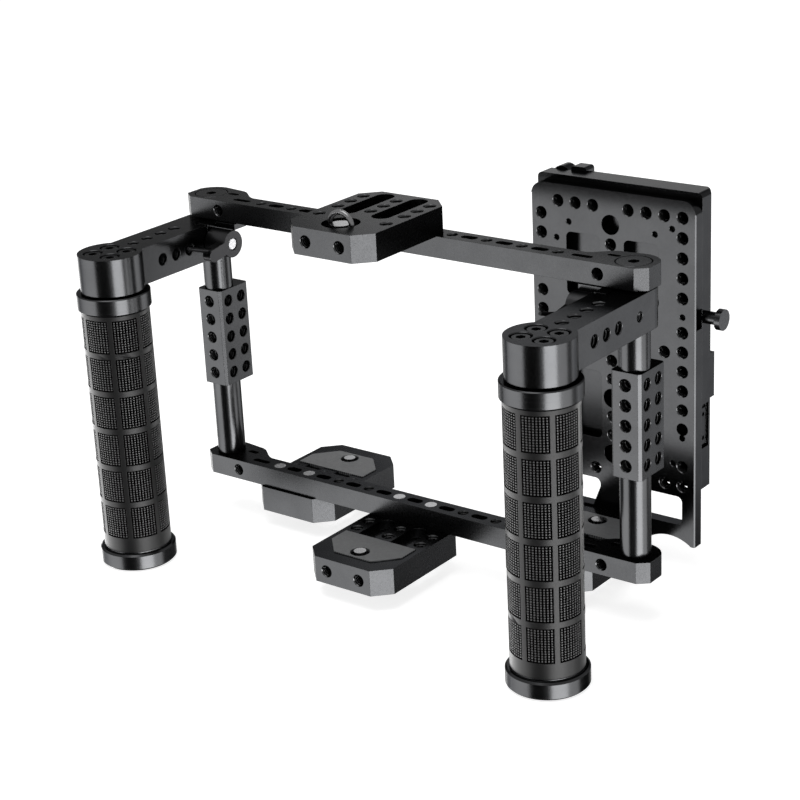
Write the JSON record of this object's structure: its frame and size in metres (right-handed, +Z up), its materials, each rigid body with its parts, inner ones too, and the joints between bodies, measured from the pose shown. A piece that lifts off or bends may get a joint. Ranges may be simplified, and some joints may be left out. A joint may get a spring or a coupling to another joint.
{
  "type": "monitor cage",
  "caption": "Rectangular cage for a field monitor, with rods and drilled bars, swinging side handles, padded screw plates and a battery plate behind one corner.",
  "frame": {"origin": "under the middle of the part's box, on the plane that the two grips stand on", "axes": "+X along the bars towards the battery plate, +Y to the rear, +Z up; the cage faces -Y"},
  "size_m": [0.2946, 0.1768, 0.1976],
  "materials": {
    "bar_metal": "black anodised, satin",
    "rod_metal": "black anodised, turned",
    "block_metal": "black anodised, satin",
    "plate_metal": "black anodised, satin",
    "arm_metal": "black anodised, satin",
    "collar_metal": "black anodised, turned",
    "panel_metal": "black anodised, satin",
    "dark_screw": "blackened steel",
    "bright_steel": "bare steel",
    "lever_metal": "black, satin",
    "pad_rubber": "finely ribbed",
    "grip_rubber": "matt, with fine dots in the panels",
    "carrier_plastic": "satin",
    "contact_plastic": "smooth"
  },
  "bodies": {
    "frame": {"top_bar": "bar_metal", "bottom_bar": "bar_metal", "left_lower_rod": "rod_metal", "right_lower_rod": "rod_metal", "left_block": "block_metal", "right_block": "block_metal", "left_upper_rod": "rod_metal", "right_upper_rod": "rod_metal", "rod_end_screws": "bar_metal", "top_plate": "plate_metal", "centre_plate": "plate_metal", "left_plate": "plate_metal", "right_plate": "plate_metal", "top_pad": "pad_rubber", "centre_pad": "pad_rubber", "left_pad": "pad_rubber", "right_pad": "pad_rubber", "plate_screws": "bright_steel", "battery_front": "panel_metal", "battery_carrier": "carrier_plastic", "battery_rails": "carrier_plastic", "contact_block": "contact_plastic", "port_panel": "panel_metal", "battery_screws": "dark_screw", "carrier_screws": "dark_screw"},
    "left_handle": {"left_arm": "arm_metal", "left_arm_screws": "dark_screw", "left_core": "arm_metal", "left_collar": "collar_metal", "left_sleeve": "grip_rubber", "left_end_cap": "collar_metal"},
    "right_handle": {"right_arm": "arm_metal", "right_arm_screws": "dark_screw", "right_core": "arm_metal", "right_collar": "collar_metal", "right_sleeve": "grip_rubber", "right_end_cap": "collar_metal"},
    "left_clamp": {"left_lever": "lever_metal", "left_bolt": "bright_steel"},
    "right_clamp": {"right_lever": "lever_metal", "right_bolt": "bright_steel"},
    "top_screw": {"top_stud": "bright_steel"},
    "top_loop": {"top_ring": "bright_steel"},
    "centre_screw": {"centre_stud": "bright_steel"},
    "centre_loop": {"centre_ring": "bright_steel"},
    "left_screw": {"left_stud": "bright_steel"},
    "left_loop": {"left_ring": "bright_steel"},
    "right_screw": {"right_stud": "bright_steel"},
    "right_loop": {"right_ring": "bright_steel"},
    "battery_release": {"release_button": "carrier_plastic"},
    "side_thumb_screw": {"side_screw": "dark_screw"}
  },
  "joints": [
    {"name": "left_handle_swing", "type": "hinge", "parent": "frame", "child": "left_handle", "pos_m": [-0.1278, 0.0081, 0.15655], "axis": [0, 0, 1], "range_deg": [-120, 60]},
    {"name": "right_handle_swing", "type": "hinge", "parent": "frame", "child": "right_handle", "pos_m": [0.1278, 0.0081, 0.15655], "axis": [0, 0, 1], "range_deg": [-60, 120]},
    {"name": "left_clamp_turn", "type": "hinge", "parent": "left_handle", "child": "left_clamp", "pos_m": [-0.1099, -0.0049, 0.15655], "axis": [1, 0, 0], "range_deg": [0, 120]},
    {"name": "right_clamp_turn", "type": "hinge", "parent": "right_handle", "child": "right_clamp", "pos_m": [0.1099, -0.0049, 0.15655], "axis": [1, 0, 0], "range_deg": [0, 120]},
    {"name": "top_screw_turn", "type": "hinge", "parent": "frame", "child": "top_screw", "pos_m": [0, -0.0424, 0.18555], "axis": [0, 0, 1], "continuous": true},
    {"name": "top_loop_fold", "type": "hinge", "parent": "top_screw", "child": "top_loop", "pos_m": [0, -0.0424, 0.18959], "axis": [1, 0, 0], "range_deg": [-90, 90]},
    {"name": "centre_screw_turn", "type": "hinge", "parent": "frame", "child": "centre_screw", "pos_m": [0, -0.0424, 0.01405], "axis": [0, 0, 1], "continuous": true},
    {"name": "centre_loop_fold", "type": "hinge", "parent": "centre_screw", "child": "centre_loop", "pos_m": [0, -0.0424, 0.01001], "axis": [1, 0, 0], "range_deg": [-180, 0]},
    {"name": "left_screw_turn", "type": "hinge", "parent": "frame", "child": "left_screw", "pos_m": [-0.08, 0.0504, 0.01405], "axis": [0, 0, 1], "continuous": true},
    {"name": "left_loop_fold", "type": "hinge", "parent": "left_screw", "child": "left_loop", "pos_m": [-0.08, 0.0504, 0.01001], "axis": [1, 0, 0], "range_deg": [0, 180]},
    {"name": "right_screw_turn", "type": "hinge", "parent": "frame", "child": "right_screw", "pos_m": [0.08, 0.0504, 0.01405], "axis": [0, 0, 1], "continuous": true},
    {"name": "right_loop_fold", "type": "hinge", "parent": "right_screw", "child": "right_loop", "pos_m": [0.08, 0.0504, 0.01001], "axis": [1, 0, 0], "range_deg": [0, 180]},
    {"name": "battery_release_push", "type": "slide", "parent": "frame", "child": "battery_release", "axis": [0, 0, -1], "range_m": [0, 0.004], "stiffness_N_per_m": 300, "springref_m": -0.001},
    {"name": "side_thumb_screw_turn", "type": "hinge", "parent": "frame", "child": "side_thumb_screw", "pos_m": [0.12745, 0.0742, 0.13165], "axis": [1, 0, 0], "continuous": true}
  ]
}
